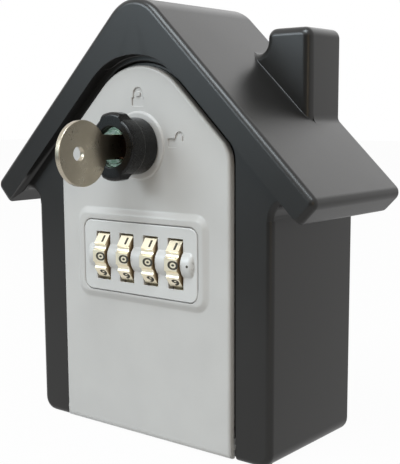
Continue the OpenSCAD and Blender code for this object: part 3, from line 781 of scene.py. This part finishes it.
class NodeShape:
    """A Geometry Nodes tree with named inputs, which makes one plain mesh at a time."""

    def __init__(self, name: str, sizes: Sequence[str], texts: Sequence[str] = ()) -> None:
        """Starts the tree.

        Args:
            name: the tree's name.
            sizes: names of the inputs that are numbers.
            texts: names of the inputs that are texts.
        """
        self.tree = bpy.data.node_groups.new(name, "GeometryNodeTree")
        kinds = {"Geometry": "NodeSocketGeometry", **dict.fromkeys(texts, "NodeSocketString"),
                 **dict.fromkeys(sizes, "NodeSocketFloat"), "Material": "NodeSocketMaterial"}
        for label, kind in kinds.items():
            self.tree.interface.new_socket(label, in_out="INPUT", socket_type=kind)
        self.tree.interface.new_socket("Geometry", in_out="OUTPUT", socket_type="NodeSocketGeometry")
        self.bench = NodeBench(self.tree)
        self.given = self.bench.add("NodeGroupInput").outputs

    def turn(self, angles: object) -> Socket:
        """Makes a rotation of three angles or of a socket."""
        return self.bench.add("FunctionNodeEulerToRotation", {"Euler": angles}).outputs["Rotation"]

    def end(self, shape: Socket, angles: Point3 = (0.0, 0.0, 0.0)) -> None:
        """Puts the shape on the points, realizes the instances, sets the material and ends the tree.

        Args:
            shape: what stands on each point.
            angles: how it is turned there.
        """
        bench, given = self.bench, self.given
        placed = bench.add("GeometryNodeInstanceOnPoints", {
            "Points": given["Geometry"], "Instance": shape, "Rotation": self.turn(angles)}).outputs["Instances"]
        real = bench.add("GeometryNodeRealizeInstances", {"Geometry": placed}).outputs["Geometry"]
        done = bench.add("GeometryNodeSetMaterial", {"Geometry": real, "Material": given["Material"]})
        bench.add("NodeGroupOutput", {"Geometry": done.outputs["Geometry"]})

    def make(self, name: str, points: Sequence[Vector], values: dict[str, object]) -> Object:
        """Runs the tree on points and keeps the result as a plain mesh.

        Args:
            name: the piece's name.
            points: where the tree works.
            values: the tree's inputs, by name.

        Returns:
            The piece, with no modifier left.
        """
        mesh = bpy.data.meshes.new(name)
        mesh.from_pydata([tuple(p) for p in points], [], [])
        piece = link(name, mesh)
        modifier = piece.modifiers.new(self.tree.name, "NODES")
        modifier.node_group = self.tree
        for item in self.tree.interface.items_tree:
            if item.item_type == "SOCKET" and item.in_out == "INPUT" and item.name in values:
                modifier[item.identifier] = values[item.name]
        settle(piece)
        return piece


class DigitRing(NodeShape):
    """Bold digits around a wheel: the first at the front, the next ones above it."""

    PEN_SIDES = 8

    def __init__(self) -> None:
        """Builds the tree."""
        super().__init__("digit_ring", ("Digit Size", "Pen Radius", "Face Radius", "Width Share",
                                        "Ink Share"), ("Digits",))
        bench, given = self.bench, self.given
        text = bench.add("GeometryNodeStringToCurves", {
            "String": given["Digits"], "Size": given["Digit Size"]}, align_x="CENTER", align_y="MIDDLE",
            pivot_mode="MIDPOINT")
        back = bench.add("ShaderNodeVectorMath", {"0": text.outputs["Pivot Point"], "Scale": -1.0},
                         operation="SCALE").outputs["Vector"]
        middle = bench.add("GeometryNodeSetPosition", {
            "Geometry": text.outputs["Curve Instances"], "Position": back}).outputs["Geometry"]
        filled = bench.add("GeometryNodeFillCurve", {"Curve": middle}, mode="NGONS").outputs["Mesh"]
        raised = bench.add("GeometryNodeExtrudeMesh", {
            "Mesh": filled, "Offset Scale": given["Pen Radius"], "Individual": False})
        under = bench.add("GeometryNodeFlipFaces", {"Mesh": filled})
        pen = bench.add("GeometryNodeCurvePrimitiveCircle", {
            "Resolution": self.PEN_SIDES, "Radius": given["Pen Radius"]}).outputs["Curve"]
        outline = bench.add("GeometryNodeCurveToMesh", {"Curve": middle, "Profile Curve": pen})
        glyphs = bench.add("GeometryNodeJoinGeometry")
        for part in (under, raised, outline):
            bench.join(part.outputs["Mesh"], glyphs, "Geometry")
        self.end(self.around(glyphs.outputs["Geometry"]))

    def around(self, glyphs: Socket) -> Socket:
        """Stands the digits up and turns each to its face of the wheel.

        Args:
            glyphs: the flat digits, all in the middle.

        Returns:
            The ring of digits around the middle.
        """
        bench, given = self.bench, self.given
        share = bench.vector(given["Width Share"], 1.0, given["Ink Share"])
        slim = bench.add("GeometryNodeScaleInstances", {"Instances": glyphs, "Scale": share})
        stood = self.turned(slim.outputs["Instances"], (math.pi / 2, 0.0, 0.0))
        forward = bench.vector(y=bench.math("MULTIPLY", given["Face Radius"], -1.0))
        ahead = bench.add("GeometryNodeTranslateInstances", {
            "Instances": stood, "Translation": forward, "Local Space": False}).outputs["Instances"]
        count = bench.add("FunctionNodeStringLength", {"String": given["Digits"]}).outputs["Length"]
        index = bench.add("GeometryNodeInputIndex").outputs["Index"]
        step = bench.math("DIVIDE", -2 * math.pi, count)
        return self.turned(ahead, bench.vector(bench.math("MULTIPLY", index, step)))

    def turned(self, digits: Socket, angles: object) -> Socket:
        """Turns the digits about the middle."""
        return self.bench.add("GeometryNodeRotateInstances", {
            "Instances": digits, "Rotation": self.turn(angles), "Local Space": False}).outputs["Instances"]


class SlottedScrew(NodeShape):
    """Pan-head screws with a driver slot, on points at the seats, with their heads towards the back."""

    HEAD_SIDES, SHANK_SIDES = 40, 24
    SLOT_LENGTH = 2.2  # in head radii
    SLOT_HEIGHT = 2.0  # of the cutter, in slot widths

    def __init__(self) -> None:
        """Builds the tree."""
        super().__init__("slotted_screw", ("Head Radius", "Head Height", "Shank Radius", "Shank Length",
                                           "Slot Width", "Crown Share"))
        bench, given = self.bench, self.given
        head = bench.add("GeometryNodeMeshCone", {
            "Vertices": self.HEAD_SIDES, "Depth": given["Head Height"], "Radius Bottom": given["Head Radius"],
            "Radius Top": bench.math("MULTIPLY", given["Head Radius"], given["Crown Share"])}).outputs["Mesh"]
        length = bench.math("MULTIPLY", given["Head Radius"], self.SLOT_LENGTH)
        height = bench.math("MULTIPLY", given["Slot Width"], self.SLOT_HEIGHT)
        cutter = bench.add("GeometryNodeMeshCube", {
            "Size": bench.vector(given["Slot Width"], length, height)}).outputs["Mesh"]
        slotted = bench.add("GeometryNodeMeshBoolean", operation="DIFFERENCE")
        bench.join(head, slotted, "Mesh 1")
        bench.join(self.lifted(cutter, given["Head Height"]), slotted, "Mesh 2")
        shank = bench.add("GeometryNodeMeshCylinder", {
            "Vertices": self.SHANK_SIDES, "Radius": given["Shank Radius"], "Depth": given["Shank Length"]})
        down = bench.math("MULTIPLY", given["Shank Length"], -0.5)
        both = bench.add("GeometryNodeJoinGeometry", {"Geometry": slotted.outputs["Mesh"]})
        bench.join(self.lifted(shank.outputs["Mesh"], down), both, "Geometry")
        self.end(both.outputs["Geometry"], (-math.pi / 2, 0.0, 0.0))

    def lifted(self, mesh: Socket, height: Socket) -> Socket:
        """Moves a mesh along the screw."""
        return self.bench.add("GeometryNodeTransform", {
            "Geometry": mesh, "Translation": self.bench.vector(z=height)}).outputs["Geometry"]


class WireSpring(NodeShape):
    """A wire wound into a spring, which stands on a point."""

    TURN_STEPS, WIRE_SIDES = 40, 12

    def __init__(self) -> None:
        """Builds the tree."""
        super().__init__("wire_spring", ("Winding Radius", "Wire Radius", "Turns", "Height"))
        bench, given = self.bench, self.given
        path = bench.add("GeometryNodeCurveSpiral", {
            "Resolution": self.TURN_STEPS, "Rotations": given["Turns"], "Height": given["Height"],
            "Start Radius": given["Winding Radius"], "End Radius": given["Winding Radius"]}).outputs["Curve"]
        wire = bench.add("GeometryNodeCurvePrimitiveCircle", {
            "Resolution": self.WIRE_SIDES, "Radius": given["Wire Radius"]}).outputs["Curve"]
        tube = bench.add("GeometryNodeCurveToMesh", {"Curve": path, "Profile Curve": wire, "Fill Caps": True})
        self.end(tube.outputs["Mesh"])


@dataclass
class Casing:
    """Cast house with its roof, chimney and hinge pin. Sizes in mm."""

    edge: float = 0.5
    pin_edge: float = 0.15
    hollow_at: Point2 = (23.3, 124.22)
    hollow_radius: float = 3.7
    chimney_front: float = 4.5
    chimney_round: float = 2.6
    roof_slope: float = 44.0
    foot_gap: float = 0.01
    foot_overlap: float = 0.6
    foot_sink: float = 0.4
    foot_reach: float = 2.0
    foot_steps: int = 6
    hollow_steps: int = 14

    def build(self) -> None:
        """Dresses the casting and its pin."""
        dress("house_shell", "shell_casting", Body.HOUSE, Slot.SHELL, SHELL_COATING, Edge(self.edge),
              [(self.chimney_foot(), "UNION")])
        dress("hinge_pin", "door_pin", Body.HOUSE, Slot.STEEL, BRIGHT_STEEL, Edge(self.pin_edge))

    def chimney_foot(self) -> Object:
        """Makes the hollow foot at the chimney's left, which ends at its front with a round edge.

        Returns:
            The closed shape, to be joined to the casting.
        """
        front, gap, rings = self.chimney_front, self.foot_gap, []
        for i in range(self.foot_steps + 1):
            turn = math.radians(90 * i / self.foot_steps)
            inset = self.chimney_round * (1 - math.sin(turn)) + gap
            rings.append((front + gap + self.chimney_round * (1 - math.cos(turn)), self.foot_outline(inset)))
        rings.append((front + self.chimney_round + self.foot_overlap, self.foot_outline(gap)))
        return stack("chimney_foot", rings)

    def foot_outline(self, inset: float) -> list[Point2]:
        """Outline of the hollow foot, which reaches a little into the roof and the chimney.

        Args:
            inset: how far its free edge is drawn back.

        Returns:
            The points in x and z, anticlockwise seen from the front.
        """
        x, z = self.hollow_at
        radius, sink = self.hollow_radius + inset, self.foot_sink
        lean = math.radians(self.roof_slope)
        out = (math.sin(lean), math.cos(lean))
        toward = DOWN - self.roof_slope
        start = toward + math.degrees(math.acos(self.hollow_radius / radius))
        hollow = arc(self.hollow_at, radius, start, 360.0, self.hollow_steps)
        first = (hollow[0][0] - sink * out[0], hollow[0][1] - sink * out[1])
        far = x + self.hollow_radius + self.chimney_round + self.foot_reach
        low = first[1] - (far - first[0]) * math.tan(lean)
        return [first, (far, low), (far, z), *hollow[::-1]]


@dataclass(frozen=True)
class ShutSign:
    """Shut padlock, engraved in the door. Sizes in mm, from the middle of its foot."""

    at: Point2 = (-0.2, 104.7)
    half: float = 2.5
    height: float = 2.6
    corner: float = 0.3
    bow_at: float = 3.75
    bow_radius: float = 1.95
    eye_foot: float = 3.0
    eye_radius: float = 0.85
    bow_steps: int = 16
    eye_steps: int = 12

    def outline(self) -> list[Point2]:
        """Outline of the padlock.

        Returns:
            The points in x and z, anticlockwise seen from the front.
        """
        half, corner, bow, height = self.half, self.corner, self.bow_radius, self.height
        return moved(self.at, [
            (corner - half, 0.0), (half - corner, 0.0), (half, corner), (half, height), (bow, height),
            *arc((0.0, self.bow_at), bow, 0, 180, self.bow_steps), (-bow, height), (-half, height),
            (-half, corner)])

    def eye(self) -> list[Point2]:
        """Outline of what stays inside the shackle.

        Returns:
            The points in x and z, anticlockwise seen from the front.
        """
        eye = self.eye_radius
        return moved(self.at, [(-eye, self.eye_foot), (eye, self.eye_foot),
                               *arc((0.0, self.bow_at), eye, 0, 180, self.eye_steps)])


@dataclass(frozen=True)
class OpenSign:
    """Open padlock, engraved in the door, its shackle at the right. Sizes in mm, from its foot's middle."""

    at: Point2 = (13.4, 92.5)
    half: float = 1.8
    height: float = 2.7
    corner: float = 0.2
    left_corner: float = 0.3
    bow_at: Point2 = (2.75, 3.0)
    bow_outside: float = 1.75
    bow_inside: float = 0.95
    bow_foot: float = 1.9
    outside_steps: int = 14
    inside_steps: int = 12

    def outline(self) -> list[Point2]:
        """Outline of the padlock.

        Returns:
            The points in x and z, anticlockwise seen from the front.
        """
        half, corner, height, middle = self.half, self.corner, self.height, self.bow_at[0]
        return moved(self.at, [
            (self.left_corner - half, 0.0), (half - corner, 0.0), (half, corner),
            *arc(self.bow_at, self.bow_inside, 180, 0, self.inside_steps),
            (middle + self.bow_inside, self.bow_foot), (middle + self.bow_outside, self.bow_foot),
            *arc(self.bow_at, self.bow_outside, 0, 180, self.outside_steps),
            (middle - self.bow_outside, height), (corner - half, height), (-half, height - corner),
            (-half, corner)])


@dataclass
class DoorLeaf:
    """Grey door with two engraved padlock signs, its dial plate and the dial's index dot. Sizes in mm."""

    face_y: float = -24.0
    rib_y: float = -26.6
    edge: float = 0.45
    plate_edge: float = 0.25
    shut_sign: ShutSign = ShutSign()
    open_sign: OpenSign = OpenSign()
    sign_depth: float = 0.45
    sign_lead: float = 1.0
    eye_sink: float = 0.1
    eye_edge: float = 0.2
    dot_at: Point2 = (20.7, 57.75)
    dot_radius: float = 0.4
    dot_steps: int = 24
    dot_height: float = 0.04
    dot_sink: float = 0.3
    dot_edge: float = 0.03

    def build(self) -> None:
        """Dresses the door and the dial plate."""
        floor = self.face_y + self.sign_depth
        signs = {"sign_locked": self.shut_sign, "sign_open": self.open_sign}
        cuts = [(plate(name, sign.outline(), self.face_y - self.sign_lead, floor), "DIFFERENCE")
                for name, sign in signs.items()]
        dress("door_panel", "door_leaf", Body.DOOR, Slot.DOOR, DOOR_PAINT, Edge(self.edge), cuts)
        dress("dial_plate", "dial_frame", Body.DOOR, Slot.DOOR, DIAL_PAINT_LIGHTENED, Edge(self.plate_edge))
        paint_node("barrel_bush", TURNED_BRASS)
        eye = plate("sign_eye", self.shut_sign.eye(), self.face_y, floor + self.eye_sink)
        self.add(eye, self.eye_edge, DOOR_PAINT, Slot.DOOR)
        round_dot = arc(self.dot_at, self.dot_radius, 0, 360 - 360 / self.dot_steps, self.dot_steps - 1)
        dot = plate("index_dot", round_dot, self.rib_y - self.dot_height, self.rib_y + self.dot_sink)
        self.add(dot, self.dot_edge, DIGIT_INK, Slot.PLASTIC)

    @staticmethod
    def add(piece: Object, edge: float, finish: Finish, slot: Slot) -> None:
        """Finishes a small piece that only the scene has, and puts it on the door.

        Args:
            piece: the plain piece.
            edge: width of its rounded edges, in mm.
            finish: its material.
            slot: handed on to fit, which does not use it.
        """
        soften(piece, Edge(edge))
        wear(piece, finish)
        fit(piece, Body.DOOR, slot)


@dataclass
class LockCase:
    """Chassis and cover on the door's back, their screws and the bolt's springs. Sizes in mm and degrees."""

    edge: float = 0.2
    head_height: float = 1.2
    slot_width: float = 0.6
    shank_radius: float = 1.1
    crown_share: float = 0.84
    screw_smooth: float = 32.0
    wire_radius: float = 0.4
    wire_smooth: float = 50.0
    turns: float = 6.0

    def build(self) -> None:
        """Dresses the case and makes its screws and springs."""
        dress("lock_chassis", "chassis_plate", Body.DOOR, Slot.ZINC, ZINC_PLATE, Edge(self.edge))
        dress("lock_cover", "rear_cover", Body.DOOR, Slot.PLASTIC, MOULDED_BLACK, Edge(self.edge))
        paint_node("detent_spring", SPRING_STEEL)
        screws = SlottedScrew()
        for node in ("chassis_screws", "cover_screws"):
            self.screws(screws, node)
        springs = WireSpring()
        for side in ("left", "right"):
            self.spring(springs, side)

    def screws(self, tree: SlottedScrew, node: str) -> None:
        """Makes the screws of one CAD node.

        Args:
            tree: the screw's node tree.
            node: the CAD node with the plain screws.
        """
        solids = islands(node)
        seats = [Vector(((a.x + b.x) / 2, b.y - self.head_height * MM, (a.z + b.z) / 2)) for a, b in solids]
        low, high = solids[0]
        piece = tree.make(f"{node}_slotted", seats, {
            "Head Radius": (high.x - low.x) / 2, "Head Height": self.head_height * MM,
            "Shank Radius": self.shank_radius * MM, "Shank Length": high.y - low.y - self.head_height * MM,
            "Slot Width": self.slot_width * MM, "Crown Share": self.crown_share,
            "Material": BRIGHT_STEEL.material(),
        })
        smooth(piece, self.screw_smooth)
        fit(piece, Body.DOOR, Slot.STEEL, node)

    def spring(self, tree: WireSpring, side: str) -> None:
        """Makes one bolt spring, which stretches between the chassis and the bolt.

        Args:
            tree: the spring's node tree.
            side: left or right.
        """
        node = f"bolt_spring_{side}"
        low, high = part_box(node)
        wire = self.wire_radius * MM
        foot = Vector(((low.x + high.x) / 2, (low.y + high.y) / 2, low.z + wire))
        piece = tree.make(f"{node}_wire", [foot], {
            "Winding Radius": (high.x - low.x) / 2 - wire, "Wire Radius": wire, "Turns": self.turns,
            "Height": high.z - low.z - 2 * wire, "Material": SPRING_STEEL.material(),
        })
        smooth(piece, self.wire_smooth)
        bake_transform(piece, Body.DOOR.value, Body.BOLT.value, (foot.x, foot.y, low.z), (foot.x, foot.y, high.z))
        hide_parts(node)
        log.info("%s between door and bolt, %d faces", piece.name, len(piece.data.polygons))


@dataclass
class CodeWheel:
    """One number wheel with its ring of digits. Sizes in mm and degrees."""

    number: int
    rings: DigitRing
    flat: float = 9.35
    digits: str = "\u0298123456789"  # the zero is a ring with a dot in it
    digit_size: float = 3.3
    pen: float = 0.115
    ink_share: float = 0.30
    width_share: float = 1.75
    digit_smooth: float = 40.0
    edge: float = 0.22

    def build(self) -> None:
        """Dresses the wheel and prints its digits."""
        node, body = f"number_wheel_{self.number}", Body(f"wheel_{self.number}")
        dress(node, f"wheel_{self.number}_drum", body, Slot.WHEEL, WHEEL_PLATING, Edge(self.edge))
        low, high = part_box(node)
        joint = next(j for j in frame["joints"] if j["name"] == f"wheel_{self.number}_turn")
        axle = Vector(joint["pos_m"])
        axle.x = (low.x + high.x) / 2
        piece = self.rings.make(f"wheel_{self.number}_digits", [axle], {
            "Digits": self.digits, "Digit Size": self.digit_size * MM, "Pen Radius": self.pen * MM,
            "Face Radius": self.flat * MM, "Width Share": self.width_share, "Ink Share": self.ink_share,
            "Material": DIGIT_INK.material(),
        })
        smooth(piece, self.digit_smooth)
        fit(piece, body, Slot.PLASTIC)


@dataclass
class CodeSet:
    """Axle with its four sleeves, and the slider that sets a new code. Widths in mm."""

    edge: float = 0.12

    def build(self) -> None:
        """Dresses the axle, the sleeves and the slider."""
        dress("code_axle", "wheel_axle", Body.CODE_SET, Slot.STEEL, BRIGHT_STEEL, Edge(self.edge))
        for i in WHEELS:
            dress(f"code_sleeve_{i}", f"gate_sleeve_{i}", Body.CODE_SET, Slot.BRASS, TURNED_BRASS,
                  Edge(self.edge))
        dress("reset_slider", "code_slider", Body.CODE_SET, Slot.PLASTIC, MOULDED_BLACK, Edge(self.edge))


@dataclass
class KnobLock:
    """Knob with the key lock in it, its cam and nut, and the bolt that the cam lifts. Widths in mm."""

    knob_edge: float = 0.4
    edge: float = 0.15

    def build(self) -> None:
        """Dresses the knob, the lock and the bolt."""
        dress("knob", "grip_knob", Body.KNOB, Slot.KNOB, KNOB_BLACK, Edge(self.knob_edge))
        dress("lock_barrel", "plug_housing", Body.KNOB, Slot.CHROME, LOCK_CHROME_GREEN_REFLECTION, Edge(self.edge))
        dress("lock_plug", "key_plug", Body.PLUG, Slot.CHROME, LOCK_CHROME_GREEN_REFLECTION, Edge(self.edge))
        dress("drive_cam", "lift_cam", Body.KNOB, Slot.ZINC, ZINC_PLATE, Edge(self.edge))
        paint_node("barrel_nut", TURNED_BRASS)
        dress("bolt_plate", "lift_bolt", Body.BOLT, Slot.ZINC, ZINC_PLATE, Edge(self.edge))


@dataclass
class FlatKey:
    """Key with a round bow. Width in mm."""

    edge: float = 0.22

    def build(self) -> None:
        """Dresses the key."""
        dress("key", "flat_key", Body.KEY, Slot.KEY, KEY_NICKEL, Edge(self.edge))


@dataclass
class PhotoCamera:
    """Camera at the photograph's viewing angle, in metres and degrees."""

    place: Point3 = (0.19152, -0.23368, 0.10199)
    target: Point3 = (-0.00212, 0.0075, 0.05631)
    lens: float = 71.63
    shift: Point2 = (0.0030, 0.0418)
    roll: float = -0.315
    sensor: float = 36.0  # mm
    clip: Point2 = (0.01, 20.0)

    def build(self) -> None:
        """Makes the camera and gives it to the scene."""
        lens = bpy.data.cameras.new("photo_camera")
        lens.sensor_width = lens.sensor_height = self.sensor
        lens.lens = self.lens
        lens.shift_x, lens.shift_y = self.shift
        lens.clip_start, lens.clip_end = self.clip
        camera = bpy.data.objects.new("photo_camera", lens)
        bpy.context.scene.collection.objects.link(camera)
        camera.location = self.place
        aim = (Vector(self.target) - Vector(self.place)).to_track_quat("-Z", "Y")
        camera.rotation_euler = (aim @ Quaternion((0.0, 0.0, 1.0), math.radians(self.roll))).to_euler()
        bpy.context.scene.camera = camera


@dataclass(frozen=True)
class Softbox:
    """One oblong studio lamp: its place, width and height in metres, its power in watts and its tint."""

    name: str
    place: Point3
    size: Point2
    power: float
    tint: Colour = WHITE

    def build(self, target: Vector) -> None:
        """Makes the lamp.

        Args:
            target: the point that it is aimed at.
        """
        lamp = bpy.data.lights.new(self.name, "AREA")
        lamp.shape = "RECTANGLE"
        lamp.size, lamp.size_y = self.size
        lamp.energy = self.power
        lamp.color = self.tint
        holder = bpy.data.objects.new(self.name, lamp)
        bpy.context.scene.collection.objects.link(holder)
        holder.location = self.place
        holder.rotation_euler = (target - holder.location).to_track_quat("-Z", "Y").to_euler()


@dataclass
class Studio:
    """White room, darker before the door in mirrors, with a pale table and soft lamps. Sizes in metres.

    Attributes:
        sky: plain light from all sides.
        dark_side: colour of the darker side.
        dark_ways: y of the ways in which it begins and is full.
        dark_heights: z of the ways above which it is gone, and below which it is full.
        table_half: half of the table's width.
        table_front: where the table begins, in y.
        table_z: the table's height, just below the safe.
        table_glow: share of plain white in the table.
        table_mirrored: level of that white in mirrors.
        table_matt: grey of the rest, which takes the shadow.
        target: where the lamps point.
        lamps: the lamps.
    """

    sky: Colour = (0.430, 0.398, 0.340)
    dark_side: Colour = (0.16, 0.155, 0.15)
    dark_ways: Point2 = (-0.05, -0.35)
    dark_heights: Point2 = (0.55, 0.20)
    table_half: float = 3.0
    table_front: float = -0.30
    table_z: float = -0.00005
    table_glow: float = 0.97
    table_mirrored: float = 0.78
    table_matt: float = 0.50
    target: Point3 = (0.0, -0.02, 0.065)
    lamps: tuple[Softbox, ...] = (
        Softbox("left_light", (-0.59, -1.00, 0.56), (0.50, 0.40), 7.2, (0.82, 0.93, 1.0)),
        Softbox("ridge_light", (0.14, -0.46, 1.00), (0.56, 0.40), 9.4, (0.86, 0.95, 1.0)),
        Softbox("right_strip", (0.98, -0.72, 0.24), (0.06, 0.50), 1.0, (1.0, 0.76, 0.46)),
        Softbox("window", (-0.90, -1.20, 0.20), (0.46, 0.46), 1.0, (0.72, 0.90, 1.0)),
        Softbox("rear_light", (-0.08, 0.95, 0.72), (1.10, 0.60), 1.6),
    )

    def build(self) -> None:
        """Makes the surroundings."""
        bpy.context.scene.view_settings.view_transform = "Standard"
        self.world()
        self.floor()
        for lamp in self.lamps:
            lamp.build(Vector(self.target))

    @staticmethod
    def seen(bench: NodeBench) -> Socket:
        """Adds a switch that is 1 for what the camera sees, also in mirrors and glass.

        Args:
            bench: the tree to add it to.

        Returns:
            The switch.
        """
        path = bench.add("ShaderNodeLightPath").outputs
        first = bench.math("MAXIMUM", path["Is Camera Ray"], path["Is Glossy Ray"])
        return bench.math("MAXIMUM", first, path["Is Transmission Ray"])

    def world(self) -> None:
        """White to the camera, darker in mirrors on the door's side, and plain light for the rest."""
        world = bpy.data.worlds.new("white_room")
        bpy.context.scene.world = world
        world.use_nodes = True
        world.node_tree.nodes.clear()
        bench = NodeBench(world.node_tree)
        way = bench.add("ShaderNodeTexCoord").outputs["Generated"]
        front = bench.ramp(bench.axis(way, "Y"), *self.dark_ways)
        low = bench.ramp(bench.axis(way, "Z"), *self.dark_heights)
        mirrored = bench.mix(bench.math("MULTIPLY", front, low), WHITE, self.dark_side)
        room = bench.mix(self.seen(bench), self.sky, mirrored)
        camera = bench.add("ShaderNodeLightPath").outputs["Is Camera Ray"]
        white = bench.add("ShaderNodeBackground", {"Color": bench.mix(camera, room, WHITE), "Strength": 1.0})
        bench.add("ShaderNodeOutputWorld", {"Surface": white.outputs["Background"]})

    def floor(self) -> None:
        """Pale table top under the safe, which keeps its shadow."""
        half, near, z = self.table_half, self.table_front, self.table_z
        mesh = bpy.data.meshes.new("floor")
        corners = [(-half, near, z), (half, near, z), (half, half, z), (-half, half, z)]
        mesh.from_pydata(corners, [], [range(len(corners))])
        floor = link("floor", mesh)
        made = bpy.data.materials.new("white_sheet")
        made.use_nodes = True
        made.node_tree.nodes.clear()
        bench = NodeBench(made.node_tree)
        share = bench.math("MULTIPLY", self.seen(bench), self.table_glow)
        matt = bench.add("ShaderNodeBsdfDiffuse", {"Color": (*[self.table_matt] * 3, 1.0)})
        direct = bench.add("ShaderNodeLightPath").outputs["Is Camera Ray"]
        level = bench.ramp(direct, 0.0, 1.0, self.table_mirrored)
        glow = bench.add("ShaderNodeEmission", {"Color": (*WHITE, 1.0), "Strength": level})
        mix = bench.add("ShaderNodeMixShader", {
            "0": share, "1": matt.outputs["BSDF"], "2": glow.outputs["Emission"]})
        bench.add("ShaderNodeOutputMaterial", {"Surface": mix.outputs["Shader"]})
        floor.data.materials.append(made)


def main() -> None:
    """Builds the safe, the studio and the camera."""
    logging.basicConfig(level=logging.INFO, format="%(name)s: %(message)s")
    PhotoCamera().build()
    Studio().build()
    Casing().build()
    DoorLeaf().build()
    LockCase().build()
    rings = DigitRing()
    for number in WHEELS:
        CodeWheel(number, rings).build()
    CodeSet().build()
    KnobLock().build()
    FlatKey().build()


if __name__ == "__main__":
    main()
